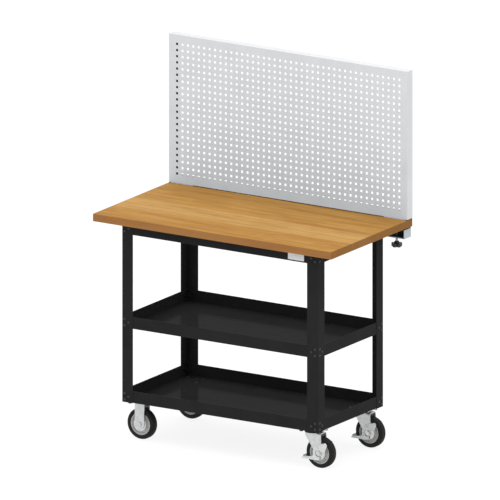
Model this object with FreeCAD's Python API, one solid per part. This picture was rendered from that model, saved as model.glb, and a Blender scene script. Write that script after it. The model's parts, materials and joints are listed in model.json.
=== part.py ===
import FreeCAD, Part
import math
import os

# Mobile assembly table: a wooden worktop on a bolted steel frame with two trays, four
# wheels and a perforated back panel that is clamped to the worktop's rear edge.
# Millimetres. X runs along the table, Y from front to back, Z up from the floor.

Vec = FreeCAD.Vector
X_AXIS = Vec(1, 0, 0)
Y_AXIS = Vec(0, 1, 0)
Z_AXIS = Vec(0, 0, 1)

# ---------------------------------------------------------------- driving dimensions
# worktop
worktop_length = 1100.0
worktop_depth = 600.0
worktop_thickness = 30.0
worktop_corner = 2.0
worktop_arris = 1.0
worktop_height = 915.0

# trays and their folds
tray_length = 900.0
tray_depth = 480.0
tray_wall = 1.5
tray_lip = 48.0
tray_bend = 1.5
tray_corner_slack = 2.5
tray_hem = 6.0
tray_spacing = 300.0

# corner legs, folded angles that wrap the trays
leg_flange = 50.0
leg_wall = 2.0
leg_bend = 2.0

# folded rails under the worktop
rail_height = 50.0
rail_flange = 30.0
rail_return = 12.0
rail_wall = 1.5
rail_bend = 1.5
rail_gap = 0.5

# square-necked bolts through leg and lip
bolt_neck = 5.0
bolt_head = 11.0
bolt_head_crown = 6.0
bolt_head_height = 2.6
bolt_corner_inset = 13.0
bolt_single_inset = 31.0
bolt_pair_spacing = 25.0
nut_flats = 8.0
nut_height = 4.0
hole_clearance = 0.1
repeat_sides = 8

# screws up into the worktop
screw_shank = 5.0
screw_clearance = 0.5
screw_head = 11.0
screw_head_crown = 5.5
screw_head_height = 3.0
screw_bite = 18.0
screw_row_inset = 60.0
screws_per_rail = 3
screw_flange_inset = 17.0

# perforated back panel
panel_length = 1100.0
panel_height = 600.0
panel_depth = 40.0
panel_wall = 1.2
panel_bend = 1.2
panel_rear_lip = 25.0
panel_overhang = 2.0
peg_pitch = 25.0
peg_hole = 9.5
peg_margin = 37.5

# uprights inside the panel's side channels
upright_width = 25.0
upright_depth = 25.0
upright_wall = 1.5
upright_corner = 3.0
upright_inset = 4.0

# clamps that hold the panel to the worktop
bracket_width = 100.0
bracket_wall = 3.0
bracket_bend = 1.0
bracket_inset = 9.0
bracket_arm_drop = 45.0
bracket_arm_depth = 49.0
bracket_cheek = 36.0
channel_wall = 3.0
channel_bend = 2.0
channel_side_gap = 0.5
channel_front_inset = 2.0
panel_bolt = 6.0
panel_bolt_clearance = 0.5
panel_bolt_head = 11.0
panel_bolt_crown = 5.5
panel_bolt_head_height = 3.0
panel_bolt_spacing = 40.0

# clamp screw, star knob and pressure pad
clamp_thread = 10.0
clamp_thread_clearance = 0.05
clamp_tip = 6.0
clamp_tip_chamfer = 1.0
clamp_tip_gap = 0.3
clamp_pad = 24.0
clamp_pad_height = 5.0
clamp_pad_rim = 2.0
clamp_pad_taper = 3.0
clamp_socket_depth = 3.0
clamp_nut_flats = 17.0
clamp_nut_height = 8.0
clamp_free_hole = 12.0
clamp_knob_drop = 17.0
knob_radius = 22.0
knob_height = 24.0
knob_lobes = 5
knob_turn = -22.0
knob_lobe_radius = 8.0
knob_chamfer = 1.5
knob_collar_height = 8.0
knob_collar_top = 7.0
knob_collar_foot = 13.0
knob_socket_depth = 16.0

# wheels
wheel_radius = 62.5
tyre_width = 32.0
tyre_shoulder = 9.0
rim_radius = 45.0
rim_flange_inset = 2.5
rim_flange_height = 4.0
rim_web_half = 5.0
rim_slope = 3.0
hub_slope = 5.0
hub_radius = 22.0
hub_stand = 2.0
bushing_radius = 9.0
bushing_stand = 1.0
guard_radius = 28.0
axle_radius = 6.0
axle_clearance = 0.05
axle_flats = 17.0
axle_head_height = 5.0

# caster housings
wheel_headroom = 30.0
caster_end_inset = 55.0
caster_spacing = 364.0
plate_length = 98.0
plate_width = 84.0
plate_thickness = 4.0
plate_corner = 8.0
plate_holes_length = 76.0
plate_holes_width = 60.0
plate_bolt = 8.0
plate_bolt_clearance = 0.5
floor_hole_clearance = 0.75
plate_nut_flats = 13.0
plate_nut_height = 6.5
plate_bolt_head = 16.0
plate_bolt_crown = 9.0
plate_bolt_head_height = 3.0
fork_side_gap = 0.5
fork_wall = 2.5
fork_bend = 4.0
fork_leg_width = 43.0
fork_leg_flat = 1.0

# swivel head
swivel_trail = 36.0
race_radius = 34.0
race_inner = 25.0
race_height = 4.0
bearing_height = 5.0
bearing_inset = 1.5
swivel_gap = 0.3
crown_wall = 3.0
kingpin_radius = 6.0
kingpin_clearance = 0.05
kingpin_flats = 19.0
kingpin_nut_height = 8.0
fork_left_reach = 25.0
fork_right_reach = 9.0
fork_shoulder_drop = 12.0
fork_shoulder_round = 6.0
fork_end_drop = 12.5
fork_toe_left = 12.5
fork_toe_rise = 8.3
fork_toe_flat = 4.2
fork_toe_round = 6.2
fork_heel_reach = 12.5
fork_heel_rise = 40.0
fork_heel_round = 8.8

# foot brake
brake_wall = 2.0
brake_gap = 0.3
brake_pin_radius = 3.0
brake_pin_clearance = 0.05
brake_pin_head = 5.0
brake_pin_head_height = 2.0
brake_pin_x = -6.0
brake_pin_z = 22.0
brake_notch_radius = 14.5
brake_round = 3.0
brake_wide_round = 8.0
brake_cheek_right = 6.0
brake_neck_left = 16.0
brake_foot_left = 26.0
brake_neck_top = 28.7
brake_ear_low = 8.0
brake_ear_foot = 30.0
brake_ear_reach = 40.0
brake_ear_side = 35.0
brake_ear_peak = 33.0
brake_ear_top = 45.0
pedal_overhang = 12.0
pedal_drop = 29.0
pedal_tip_height = 7.0
brake_arm_height = 14.0
shoe_gap = 3.3
shoe_thickness = 4.0
shoe_width = 24.0
shoe_height = 10.0

# ---------------------------------------------------------------- derived sizes and places
caster_height = 2 * wheel_radius + wheel_headroom
tray_corner = leg_bend + tray_corner_slack
hub_width = tyre_width + 2 * hub_stand
bushing_length = hub_width + 2 * bushing_stand
fork_outside = bushing_length + 2 * (fork_side_gap + fork_wall)
worktop_under = worktop_height - worktop_thickness
overall_depth = worktop_depth + bracket_wall
worktop_front = -overall_depth / 2
worktop_back = worktop_front + worktop_depth
frame_y = worktop_front + worktop_depth / 2
leg_x = tray_length / 2 + leg_wall
leg_y = tray_depth / 2 + leg_wall
lower_tray_z = caster_height
middle_tray_z = lower_tray_z + tray_spacing
rail_z = worktop_under - rail_height
caster_x = tray_length / 2 - caster_end_inset
wheel_z = wheel_radius
panel_z = worktop_height + bracket_wall
panel_back = worktop_back + panel_overhang
panel_front = panel_back - panel_depth
bracket_back = worktop_back + bracket_wall
arm_bottom = worktop_under - bracket_arm_drop
arm_front = bracket_back - bracket_arm_depth


# ---------------------------------------------------------------- shape helpers
def place_along(axis):
    """Function that puts a profile point (a, b) in the plane square to an axis."""
    if axis == X_AXIS:
        return lambda p: Vec(0, p.x, p.y)
    if axis == Y_AXIS:
        return lambda p: Vec(p.x, 0, p.y)
    return lambda p: Vec(p.x, p.y, 0)


def outline(corners, axis):
    """Closed wire through corners (a, b) or (a, b, radius), rounded by tangent arcs."""
    place = place_along(axis)
    count = len(corners)
    points = [Vec(c[0], c[1], 0) for c in corners]
    joints = []
    for i, here in enumerate(points):
        radius = corners[i][2] if len(corners[i]) > 2 else 0
        if radius == 0:
            joints.append((here, None, here))
            continue
        back = (points[i - 1] - here).normalize()
        ahead = (points[(i + 1) % count] - here).normalize()
        half = back.getAngle(ahead) / 2
        setback = radius / math.tan(half)
        centre = here + (back + ahead).normalize() * (radius / math.sin(half))
        middle = centre + (here - centre).normalize() * radius
        joints.append((here + back * setback, middle, here + ahead * setback))
    edges = []
    for i, (start, middle, end) in enumerate(joints):
        if middle is not None:
            edges.append(Part.Arc(place(start), place(middle), place(end)).toShape())
        following = joints[(i + 1) % count][0]
        if (following - end).Length > 1e-6:
            edges.append(Part.LineSegment(place(end), place(following)).toShape())
    return Part.Wire(edges)


def prism(corners, axis, start, end):
    """Outline carried along an axis from start to end."""
    face = Part.Face(outline(corners, axis))
    face.translate(axis * start)
    return face.extrude(axis * (end - start))


def rectangle(a0, a1, b0, b1, radius=0.0):
    return [(a0, b0, radius), (a1, b0, radius), (a1, b1, radius), (a0, b1, radius)]


def block(x0, x1, y0, y1, z0, z1):
    return Part.makeBox(x1 - x0, y1 - y0, z1 - z0, Vec(x0, y0, z0))


def regular(sides, flats, a=0.0, b=0.0, turn=0.5):
    """Corners of a regular polygon by its width across flats."""
    radius = flats / 2 / math.cos(math.pi / sides)
    angles = [2 * math.pi * (i + turn) / sides for i in range(sides)]
    return [(a + radius * math.cos(t), b + radius * math.sin(t)) for t in angles]


def square(width, a=0.0, b=0.0):
    return regular(4, width, a, b)


def rod(radius, axis, start, end):
    """Round bar on an axis through the origin."""
    return Part.makeCylinder(radius, end - start, axis * start, axis)


def folded(path, wall, bend, axis, start, end):
    """Sheet bent along a path, its wall to the left of the path, carried along an axis."""
    points = [Vec(a, b, 0) for a, b in path]
    near = []
    far = []
    for i, here in enumerate(points):
        run_in = (here - points[i - 1]).normalize() if i > 0 else None
        run_out = (points[i + 1] - here).normalize() if i + 1 < len(points) else None
        first = run_in or run_out
        second = run_out or run_in
        turn = first.x * second.y - first.y * second.x
        normals = Vec(-first.y - second.y, first.x + second.x, 0)
        back = here + normals * (wall / (1 + first.dot(second)))
        near_radius = 0
        far_radius = 0
        if turn > 1e-9:
            near_radius = bend + wall
            far_radius = bend
        if turn < -1e-9:
            near_radius = bend
            far_radius = bend + wall
        near.append((here.x, here.y, near_radius))
        far.append((back.x, back.y, far_radius))
    return prism(near + far[::-1], axis, start, end)


def turned(profile, axis):
    """Solid turned about an axis from corners (along, radius) or (along, radius, rounding)."""
    solid = Part.Face(outline(profile, Z_AXIS)).revolve(Vec(0, 0, 0), X_AXIS, 360)
    if axis == Y_AXIS:
        solid.rotate(Vec(0, 0, 0), Z_AXIS, 90)
    if axis == Z_AXIS:
        solid.rotate(Vec(0, 0, 0), Y_AXIS, -90)
    return solid


def frustum(sides, flats, top_flats, height):
    """Low head with sloping sides, its seat on z = 0."""
    seat = outline(regular(sides, flats), Z_AXIS)
    crown = outline(regular(sides, top_flats), Z_AXIS)
    crown.translate(Z_AXIS * height)
    return Part.makeLoft([seat, crown], True, True)


def moved(shape, x=0.0, y=0.0, z=0.0):
    copy = shape.copy()
    copy.translate(Vec(x, y, z))
    return copy


def turned_to(shape, axis, angle):
    copy = shape.copy()
    copy.rotate(Vec(0, 0, 0), axis, angle)
    return copy


def mirrored_x(shape):
    return shape.mirror(Vec(0, 0, 0), X_AXIS)


def fillet_where(shape, radius, wanted):
    """Fillet every edge for which wanted(edge) is true."""
    return shape.makeFillet(radius, [e for e in shape.Edges if wanted(e)])


def at_height(z):
    """Test for edges that lie wholly at one height."""
    return lambda e: abs(e.BoundBox.ZMin - z) < 1e-6 and abs(e.BoundBox.ZMax - z) < 1e-6


def save(name, *solids):
    shape = solids[0] if len(solids) == 1 else Part.makeCompound(list(solids))
    shape.exportStep(f"parts/{name}.step")


# ---------------------------------------------------------------- leg fastenings
def flange_places():
    """Along-flange inset and height offset of the three bolts in one leg flange."""
    half = bolt_pair_spacing / 2
    return [(bolt_corner_inset, half), (bolt_corner_inset, -half), (bolt_single_inset, 0.0)]


def frame_levels():
    """Mid-height and wall of each lip and of the rails, which the legs are bolted to."""
    lips = [(z + tray_lip / 2, tray_wall) for z in (lower_tray_z, middle_tray_z)]
    return lips + [(rail_z + rail_height / 2, rail_wall)]


def level_places(z_mid):
    """Position and outward direction of each leg bolt of one level, on the leg's face."""
    places = []
    for inset, rise in flange_places():
        for sx in (-1, 1):
            for sy in (-1, 1):
                along_x = Vec(sx * (leg_x - inset), frame_y + sy * leg_y, z_mid + rise)
                along_y = Vec(sx * leg_x, frame_y + sy * (leg_y - inset), z_mid + rise)
                places.append((along_x, Vec(0, sy, 0)))
                places.append((along_y, Vec(sx, 0, 0)))
    return places


def aimed(shape, place, outward):
    """Shape built along +Z, set on a leg face with +Z pointing outward."""
    copy = shape.copy()
    if abs(outward.y) > 0:
        copy.rotate(Vec(0, 0, 0), X_AXIS, -90 * outward.y)
    if abs(outward.x) > 0:
        copy.rotate(Vec(0, 0, 0), Y_AXIS, 90 * outward.x)
    copy.translate(place)
    return copy


def neck_holes():
    """Square cutters for the bolt necks, through the leg and what lies behind it."""
    cutters = []
    for z_mid, wall in frame_levels():
        hole = square(bolt_neck + 2 * hole_clearance)
        cutter = prism(hole, Z_AXIS, -leg_wall - wall, leg_wall)
        cutters += [aimed(cutter, place, outward) for place, outward in level_places(z_mid)]
    return cutters


def near_holes(shape, cutters):
    """The cutters whose boxes meet the shape's box."""
    return [c for c in cutters if shape.BoundBox.intersect(c.BoundBox)]


def make_fastenings():
    bolts = []
    nuts = []
    head = frustum(repeat_sides, bolt_head, bolt_head_crown, bolt_head_height)
    for z_mid, wall in frame_levels():
        seat = -leg_wall - wall
        neck = prism(square(bolt_neck), Z_AXIS, seat - nut_height, 0)
        bolt = head.fuse(neck).removeSplitter()
        nut = prism(regular(6, nut_flats), Z_AXIS, seat - nut_height, seat).cut(neck)
        for place, outward in level_places(z_mid):
            bolts.append(aimed(bolt, place, outward))
            nuts.append(aimed(nut, place, outward))
    save("frame_bolts", *bolts)
    save("frame_nuts", *nuts)


# ---------------------------------------------------------------- frame
def make_legs(cutters):
    for side_x, sx in (("left", -1), ("right", 1)):
        for side_y, sy in (("front", -1), ("back", 1)):
            path = [(leg_flange, 0), (0, 0), (0, leg_flange)]
            leg = folded(path[::-1], leg_wall, leg_bend, Z_AXIS, lower_tray_z, worktop_under)
            if sx > 0:
                leg = mirrored_x(leg)
            if sy > 0:
                leg = leg.mirror(Vec(0, 0, 0), Y_AXIS)
            leg = moved(leg, sx * leg_x, frame_y + sy * leg_y)
            save(f"leg_{side_y}_{side_x}", leg.cut(near_holes(leg, cutters)))


def tray_block(inset, z0, z1, edge_radius):
    """Rounded block inset from the tray's outside, its lower edge rolled."""
    half_x = tray_length / 2 - inset
    half_y = tray_depth / 2 - inset
    corner = tray_corner - inset
    corners = rectangle(-half_x, half_x, frame_y - half_y, frame_y + half_y, corner)
    shape = prism(corners, Z_AXIS, z0, z1)
    return fillet_where(shape, edge_radius, at_height(z0)) if edge_radius else shape


def make_tray(name, z, cutters, floor_holes):
    """Folded tray: floor, four upright lips and a flat hem turned in along their tops."""
    top = z + tray_lip
    tray = tray_block(0, z, top, tray_bend + tray_wall)
    tray = tray.cut(tray_block(tray_wall, z + tray_wall, top, tray_bend))
    hem = tray_block(tray_wall, top - tray_hem, top, 0)
    hem = hem.cut(tray_block(2 * tray_wall, top - tray_hem, top, 0))
    tray = tray.fuse(hem).removeSplitter()
    save(name, tray.cut(near_holes(tray, cutters) + floor_holes))


def worktop_screw_places():
    places = []
    span = tray_length - 2 * screw_row_inset
    for i in range(screws_per_rail):
        x = -span / 2 + span * i / (screws_per_rail - 1)
        for sy in (-1, 1):
            places.append((x, frame_y + sy * (tray_depth / 2 - screw_flange_inset)))
    return places


def make_rails(cutters):
    """Channel rails with a wide top flange for the worktop and a narrow lower return."""
    half_y = tray_depth / 2
    half_x = tray_length / 2
    screw_hole = regular(repeat_sides, screw_shank + 2 * screw_clearance)
    screw_cutter = prism(screw_hole, Z_AXIS, rail_z, worktop_under)
    screw_holes = [moved(screw_cutter, x, y) for x, y in worktop_screw_places()]
    low = rail_z
    high = worktop_under
    path = [(rail_return, low), (0, low), (0, high), (rail_flange, high)]
    end_x = half_x - max(leg_bend, rail_wall + rail_gap)
    long_rail = folded(path[::-1], rail_wall, rail_bend, X_AXIS, -end_x, end_x)
    front = moved(long_rail, 0, frame_y - half_y)
    back = moved(long_rail.mirror(Vec(0, 0, 0), Y_AXIS), 0, frame_y + half_y)
    for name, rail in (("rail_front", front), ("rail_back", back)):
        save(name, rail.cut(near_holes(rail, cutters) + near_holes(rail, screw_holes)))

    reach = half_y - rail_wall - rail_gap
    clear = half_y - rail_flange - rail_gap
    side = folded(path[::-1], rail_wall, rail_bend, Y_AXIS, -reach, reach)
    for sy in (-1, 1):
        notch = block(rail_wall, rail_flange, min(sy * clear, sy * reach),
                      max(sy * clear, sy * reach), low, high)
        side = side.cut(notch)
    left = moved(side, -half_x, frame_y)
    right = moved(mirrored_x(side), half_x, frame_y)
    for name, rail in (("rail_left", left), ("rail_right", right)):
        save(name, rail.cut(near_holes(rail, cutters)))


def make_worktop():
    half = worktop_length / 2
    corners = rectangle(-half, half, worktop_front, worktop_back, worktop_corner)
    top = prism(corners, Z_AXIS, worktop_under, worktop_height)
    top = fillet_where(top, worktop_arris, at_height(worktop_height))
    shank = prism(regular(repeat_sides, screw_shank), Z_AXIS,
                  worktop_under - rail_wall, worktop_under + screw_bite)
    head = frustum(repeat_sides, screw_head, screw_head_crown, screw_head_height)
    head = moved(turned_to(head, X_AXIS, 180), 0, 0, worktop_under - rail_wall)
    screw = head.fuse(shank).removeSplitter()
    screws = [moved(screw, x, y) for x, y in worktop_screw_places()]
    save("worktop", top.cut([moved(shank, x, y) for x, y in worktop_screw_places()]))
    save("worktop_screws", *screws)


# ---------------------------------------------------------------- perforated panel
def peg_centres(length, margin):
    """Centres of one row of holes: the pitch repeated between two margins."""
    count = int((length - 2 * margin) / peg_pitch + 1e-6)
    first = (length - count * peg_pitch) / 2
    return [first + i * peg_pitch for i in range(count + 1)]


def make_pegboard():
    """Flat perforated sheet with a square hole at every crossing of the grid."""
    half = panel_length / 2
    top = panel_z + panel_height
    sheet = Part.Face(outline(rectangle(-half, half, panel_z, top), Y_AXIS))
    holes = []
    for x in peg_centres(panel_length, peg_margin):
        for z in peg_centres(panel_height, peg_margin):
            holes.append(outline(square(peg_hole, x - half, panel_z + z), Y_AXIS))
    sheet.cutHoles(holes)
    sheet.translate(Y_AXIS * panel_front)
    save("pegboard_face", sheet.extrude(Y_AXIS * panel_wall))


def panel_ring(inset, y0, y1):
    """Solid block inside the panel's outline."""
    half = panel_length / 2 - inset
    corners = rectangle(-half, half, panel_z + inset, panel_z + panel_height - inset)
    return prism(corners, Y_AXIS, y0, y1)


def bracket_centres():
    middle = panel_length / 2 - bracket_inset - bracket_width / 2
    return (("left", -middle), ("right", middle))


def panel_bolt_places():
    y = (panel_front + panel_back) / 2
    half = panel_bolt_spacing / 2
    return [(x + side * half, y) for name, x in bracket_centres() for side in (-1, 1)]


def make_panel_frame():
    """Folded edge of the panel: four walls and the lips turned in at the back."""
    front = panel_front + panel_wall
    frame = panel_ring(0, front, panel_back)
    frame = fillet_where(frame, panel_wall + panel_bend,
                         lambda e: abs(e.BoundBox.YMin - panel_back) < 1e-6)
    frame = frame.cut(panel_ring(panel_wall, front, panel_back - panel_wall))
    frame = frame.cut(panel_ring(panel_rear_lip, front, panel_back))
    shank = prism(regular(repeat_sides, panel_bolt), Z_AXIS,
                  worktop_height, panel_z + panel_wall)
    wide = prism(regular(repeat_sides, panel_bolt + 2 * panel_bolt_clearance), Z_AXIS,
                 worktop_height, panel_z + panel_wall)
    head = frustum(repeat_sides, panel_bolt_head, panel_bolt_crown, panel_bolt_head_height)
    head = moved(head, 0, 0, panel_z + panel_wall)
    bolt = head.fuse(shank).removeSplitter()
    places = panel_bolt_places()
    save("pegboard_frame", frame.cut([moved(wide, x, y) for x, y in places]))
    save("panel_bolts", *[moved(bolt, x, y) for x, y in places])


def make_uprights():
    """Square tubes that stiffen the panel's two side channels."""
    y0 = panel_back - panel_wall - upright_depth
    y1 = panel_back - panel_wall
    z0 = panel_z + panel_wall
    z1 = panel_z + panel_height - panel_wall
    for side, sx in (("left", -1), ("right", 1)):
        outer_x = sx * (panel_length / 2 - panel_wall - upright_inset)
        inner_x = outer_x - sx * upright_width
        x0 = min(outer_x, inner_x)
        x1 = max(outer_x, inner_x)
        tube = prism(rectangle(x0, x1, y0, y1, upright_corner), Z_AXIS, z0, z1)
        w = upright_wall
        hollow = rectangle(x0 + w, x1 - w, y0 + w, y1 - w, upright_corner - w)
        save(f"panel_upright_{side}", tube.cut(prism(hollow, Z_AXIS, z0, z1)))


# ---------------------------------------------------------------- panel clamps
def make_clamps():
    screw_y = arm_front + bracket_arm_depth / 2
    nut_seat = arm_bottom + bracket_wall + channel_wall
    cheek_top = arm_bottom + bracket_cheek
    half = bracket_width / 2
    shelf_path = [(panel_front, panel_z), (bracket_back, panel_z),
                  (bracket_back, arm_bottom), (arm_front, arm_bottom)]
    bracket = folded(shelf_path[::-1], bracket_wall, bracket_bend, X_AXIS, -half, half)
    arm = prism(rectangle(-half, half, arm_bottom, cheek_top), Y_AXIS,
                arm_front, bracket_back)
    arm = arm.cut(block(-half + bracket_wall, half - bracket_wall, arm_front, bracket_back,
                        arm_bottom + bracket_wall, cheek_top))
    outer_edges = [e for e in arm.Edges
                   if at_height(arm_bottom)(e) and abs(e.BoundBox.XLength) < 1e-6
                   and abs(abs(e.BoundBox.XMin) - half) < 1e-6]
    arm = arm.makeFillet(bracket_bend, outer_edges)
    bracket = bracket.common(prism(
        rectangle(-half, half, arm_bottom, panel_z), Y_AXIS, arm_front, bracket_back))
    bracket = bracket.fuse(arm).removeSplitter()
    free_hole = moved(rod(clamp_free_hole / 2, Z_AXIS, arm_bottom, nut_seat), 0, screw_y)
    bracket = bracket.cut(free_hole)

    channel_half = half - bracket_wall - channel_side_gap
    ch_front = arm_front + channel_front_inset
    ch_back = bracket_back - bracket_wall - bracket_bend
    low = arm_bottom + bracket_wall
    channel_path = [(ch_front, low), (ch_back, low), (ch_back, cheek_top),
                    (ch_front, cheek_top)]
    channel = folded(channel_path, channel_wall, channel_bend, X_AXIS,
                     -channel_half, channel_half)
    nut = prism(regular(6, clamp_nut_flats), Z_AXIS, nut_seat, nut_seat + clamp_nut_height)
    channel = channel.cut(free_hole).fuse(moved(nut, 0, screw_y)).removeSplitter()
    thread_hole = rod(clamp_thread / 2 + clamp_thread_clearance, Z_AXIS, low,
                      nut_seat + clamp_nut_height)
    top_hole = rod(clamp_free_hole / 2, Z_AXIS, cheek_top - channel_wall, cheek_top)
    channel = channel.cut([moved(thread_hole, 0, screw_y), moved(top_hole, 0, screw_y)])

    panel_bolt_cutter = prism(regular(repeat_sides, panel_bolt), Z_AXIS,
                              worktop_height, panel_z)
    tapped = [moved(panel_bolt_cutter, x, y) for x, y in panel_bolt_places()]
    knob_top = arm_bottom - clamp_knob_drop
    pad, screw, knob = clamp_screw_set(knob_top)
    for side, x in bracket_centres():
        placed = moved(bracket, x)
        save(f"clamp_bracket_{side}", placed.cut(near_holes(placed, tapped)))
        save(f"clamp_nut_channel_{side}", moved(channel, x))
        save(f"clamp_pad_{side}", moved(pad, x, screw_y))
        save(f"clamp_screw_{side}", moved(screw, x, screw_y))
        save(f"clamp_knob_{side}", moved(knob, x, screw_y))


def clamp_screw_set(knob_top):
    """Pressure pad, screw and star knob on the Z axis, the pad against the worktop."""
    pad_base = worktop_under - clamp_pad_height
    socket_top = pad_base + clamp_socket_depth
    tip = clamp_tip / 2
    thread = clamp_thread / 2
    pad_half = clamp_pad / 2
    socket = tip + clamp_thread_clearance
    pad = turned([(pad_base, socket), (pad_base, pad_half - clamp_pad_taper),
                  (worktop_under - clamp_pad_rim, pad_half), (worktop_under, pad_half),
                  (worktop_under, 0), (socket_top, 0), (socket_top, socket)], Z_AXIS)
    tip_end = socket_top - clamp_tip_gap
    shoulder = pad_base - clamp_tip_gap
    screw_end = knob_top - knob_socket_depth
    screw = turned([(screw_end, 0), (screw_end, thread), (shoulder - clamp_tip_chamfer, thread),
                    (shoulder, thread - clamp_tip_chamfer), (shoulder, tip), (tip_end, tip),
                    (tip_end, 0)], Z_AXIS)
    return pad, screw, star_knob(knob_top)


def star_knob(top):
    """Moulded knob: a round skirt with lobes round it and a tapered collar on top."""
    bottom = top - knob_height
    collar = top - knob_collar_height
    centre_ring = knob_radius - knob_lobe_radius
    body = rod(centre_ring, Z_AXIS, bottom, collar)
    for i in range(knob_lobes):
        angle = 2 * math.pi * i / knob_lobes
        lobe = rod(knob_lobe_radius, Z_AXIS, bottom, collar)
        body = body.fuse(moved(lobe, centre_ring * math.cos(angle),
                               centre_ring * math.sin(angle)))
    body = body.removeSplitter()
    body = body.makeChamfer(knob_chamfer, [e for e in body.Edges
                                           if at_height(bottom)(e) or at_height(collar)(e)])
    cone = Part.makeCone(knob_collar_foot, knob_collar_top, knob_collar_height,
                         Z_AXIS * collar, Z_AXIS)
    body = body.fuse(cone).removeSplitter()
    body = body.cut(rod(clamp_thread / 2, Z_AXIS, top - knob_socket_depth, top))
    return turned_to(body, Z_AXIS, knob_turn)


# ---------------------------------------------------------------- wheels
def wheel_parts():
    """Tyre, rim and bushing with its end discs, turned about the Y axis."""
    half = tyre_width / 2
    tyre = turned([(-half, rim_radius), (-half, wheel_radius, tyre_shoulder),
                   (half, wheel_radius, tyre_shoulder), (half, rim_radius)], Y_AXIS)
    side = half - rim_flange_inset
    hub = hub_width / 2
    web = rim_web_half
    flange_foot = rim_radius - rim_flange_height
    one_side = [(side, rim_radius), (side, flange_foot), (web, flange_foot - rim_slope),
                (web, hub_radius + hub_slope), (hub, hub_radius), (hub, bushing_radius)]
    other_side = [(-c[0],) + c[1:] for c in one_side[::-1]]
    rim = turned(one_side + other_side, Y_AXIS)
    length = bushing_length / 2
    bore = axle_radius + axle_clearance
    one_end = [(length, bore), (length, guard_radius), (hub, guard_radius),
               (hub, bushing_radius)]
    other_end = [(-c[0], c[1]) for c in one_end[::-1]]
    bushing = turned(one_end + other_end, Y_AXIS)
    return (("tyre", tyre), ("rim", rim), ("bushing", bushing))


def axle_part():
    """Axle bolt with its head and nut tightened on the fork's outer faces."""
    outside = fork_outside / 2
    shaft = rod(axle_radius, Y_AXIS, -outside, outside)
    head = prism(regular(6, axle_flats), Y_AXIS, -outside - axle_head_height, -outside)
    nut = prism(regular(6, axle_flats), Y_AXIS, outside, outside + axle_head_height)
    return shaft.fuse([head, nut]).removeSplitter()


# ---------------------------------------------------------------- caster housings
def plate_hole_places():
    half_x = plate_holes_length / 2
    half_y = plate_holes_width / 2
    return [(sx * half_x, sy * half_y) for sx in (-1, 1) for sy in (-1, 1)]


def mounting_plate():
    half_x = plate_length / 2
    half_y = plate_width / 2
    plate = prism(rectangle(-half_x, half_x, -half_y, half_y, plate_corner), Z_AXIS,
                  caster_height - plate_thickness, caster_height)
    hole = rod(plate_bolt / 2 + plate_bolt_clearance, Z_AXIS,
               caster_height - plate_thickness, caster_height)
    return plate.cut([moved(hole, x, y) for x, y in plate_hole_places()])


def fork_section(top, wall, x0, x1):
    """Inverted U across the wheel, open downwards, from x0 to x1."""
    half = fork_outside / 2
    path = [(-half, 0), (-half, top), (half, top), (half, 0)]
    return folded(path[::-1], wall, fork_bend, X_AXIS, x0, x1)


def axle_hole():
    half = fork_outside / 2
    return moved(rod(axle_radius, Y_AXIS, -half, half), 0, 0, wheel_z)


def fixed_housing():
    """Plate with a straight fork under it, its legs rounded off below the axle."""
    top = caster_height - plate_thickness
    half = fork_leg_width / 2
    section = fork_section(top, fork_wall, -half, half)
    end = half - fork_leg_flat / 2
    silhouette = [(-half, top), (-half, wheel_z - half, end),
                  (half, wheel_z - half, end), (half, top)]
    side = prism(silhouette, Y_AXIS, -fork_outside / 2, fork_outside / 2)
    fork = section.common(side).cut(axle_hole())
    return mounting_plate().fuse(fork).removeSplitter()


def swivel_levels():
    """Heights of the plate's underside, the race's foot, the bearing and the crown."""
    under_plate = caster_height - plate_thickness
    race_foot = under_plate - race_height
    bearing_top = race_foot - swivel_gap
    crown_top = bearing_top - bearing_height
    return under_plate, race_foot, bearing_top, crown_top


def swivel_top_plate():
    under_plate, race_foot, bearing_top, crown_top = swivel_levels()
    race = turned([(race_foot, race_inner), (race_foot, race_radius),
                   (under_plate, race_radius), (under_plate, race_inner)], Z_AXIS)
    hole = rod(kingpin_radius, Z_AXIS, under_plate, caster_height)
    return mounting_plate().fuse(race).removeSplitter().cut(hole)


def swivel_bearing():
    """Ball race drawn as one ring, fast to the crown."""
    under_plate, race_foot, bearing_top, crown_top = swivel_levels()
    inner = race_inner + bearing_inset
    outer = race_radius - bearing_inset
    return turned([(crown_top, inner), (crown_top, outer), (bearing_top, outer),
                   (bearing_top, inner)], Z_AXIS)


def kingpin():
    under_plate, race_foot, bearing_top, crown_top = swivel_levels()
    nut_top = crown_top - crown_wall - swivel_gap
    nut_foot = nut_top - kingpin_nut_height
    pin = rod(kingpin_radius, Z_AXIS, nut_foot, caster_height)
    nut = prism(regular(6, kingpin_flats), Z_AXIS, nut_foot, nut_top)
    return pin.fuse(nut).removeSplitter()


def brake_pins():
    """Rivets on the fork's cheeks, on which the brake lever tips."""
    inside = fork_outside / 2 - fork_wall
    head_seat = fork_outside / 2 + 2 * brake_gap + brake_wall
    pin = rod(brake_pin_radius, Y_AXIS, inside, head_seat)
    head = rod(brake_pin_head, Y_AXIS, head_seat, head_seat + brake_pin_head_height)
    one = moved(pin.fuse(head), swivel_trail + brake_pin_x, 0, wheel_z + brake_pin_z)
    return [one, one.mirror(Vec(0, 0, 0), Y_AXIS)]


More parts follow.
